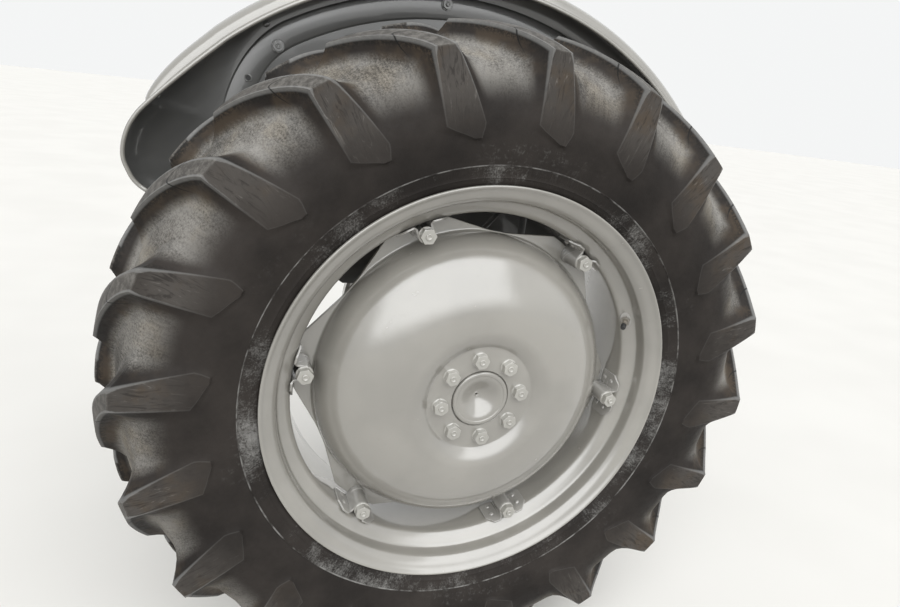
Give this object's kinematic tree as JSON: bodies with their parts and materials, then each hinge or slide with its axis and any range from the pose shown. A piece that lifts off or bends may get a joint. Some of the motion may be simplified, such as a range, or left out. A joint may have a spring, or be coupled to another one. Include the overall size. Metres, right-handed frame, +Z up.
{
  "type": "tractor rear wheel with mudguard and half axle",
  "caption": "Rear wheel with lugged tyre, dished disc and riveted rim lugs, turning on its half axle with brake drum, axle housing and mudguard.",
  "frame": {"origin": "centre of the axle housing's inner flange face, where it bolts to the machine", "axes": "+Z up, +Y along the axle from the wheel towards the machine, -X the direction of travel"},
  "size_m": [1.2665, 0.646, 1.3464],
  "materials": {
    "grey_enamel": "glossy brushed-on enamel",
    "tyre": "worn, dusty",
    "valve": "painted over, dull",
    "drum_iron": "painted casting"
  },
  "bodies": {
    "axle": {"axle_housing": "grey_enamel", "backplate": "grey_enamel", "mudguard": "grey_enamel", "mudguard_bracket": "grey_enamel"},
    "wheel": {"tyre": "tyre", "rim": "grey_enamel", "valve_stem": "valve", "wheel_disc": "grey_enamel", "rim_lug_1": "grey_enamel", "rim_lug_2": "grey_enamel", "rim_lug_3": "grey_enamel", "rim_lug_4": "grey_enamel", "rim_lug_5": "grey_enamel", "rim_lug_6": "grey_enamel", "lug_bolt_1": "grey_enamel", "lug_bolt_2": "grey_enamel", "lug_bolt_3": "grey_enamel", "lug_bolt_4": "grey_enamel", "lug_bolt_5": "grey_enamel", "lug_bolt_6": "grey_enamel", "hub_nut_1": "grey_enamel", "hub_nut_2": "grey_enamel", "hub_nut_3": "grey_enamel", "hub_nut_4": "grey_enamel", "hub_nut_5": "grey_enamel", "hub_nut_6": "grey_enamel", "hub_nut_7": "grey_enamel", "hub_nut_8": "grey_enamel", "half_shaft": "grey_enamel", "brake_drum": "drum_iron"}
  },
  "joints": [
    {"name": "wheel_spin", "type": "hinge", "parent": "axle", "child": "wheel", "pos_m": [0, -0.43, 0], "axis": [0, 1, 0], "continuous": true}
  ]
}
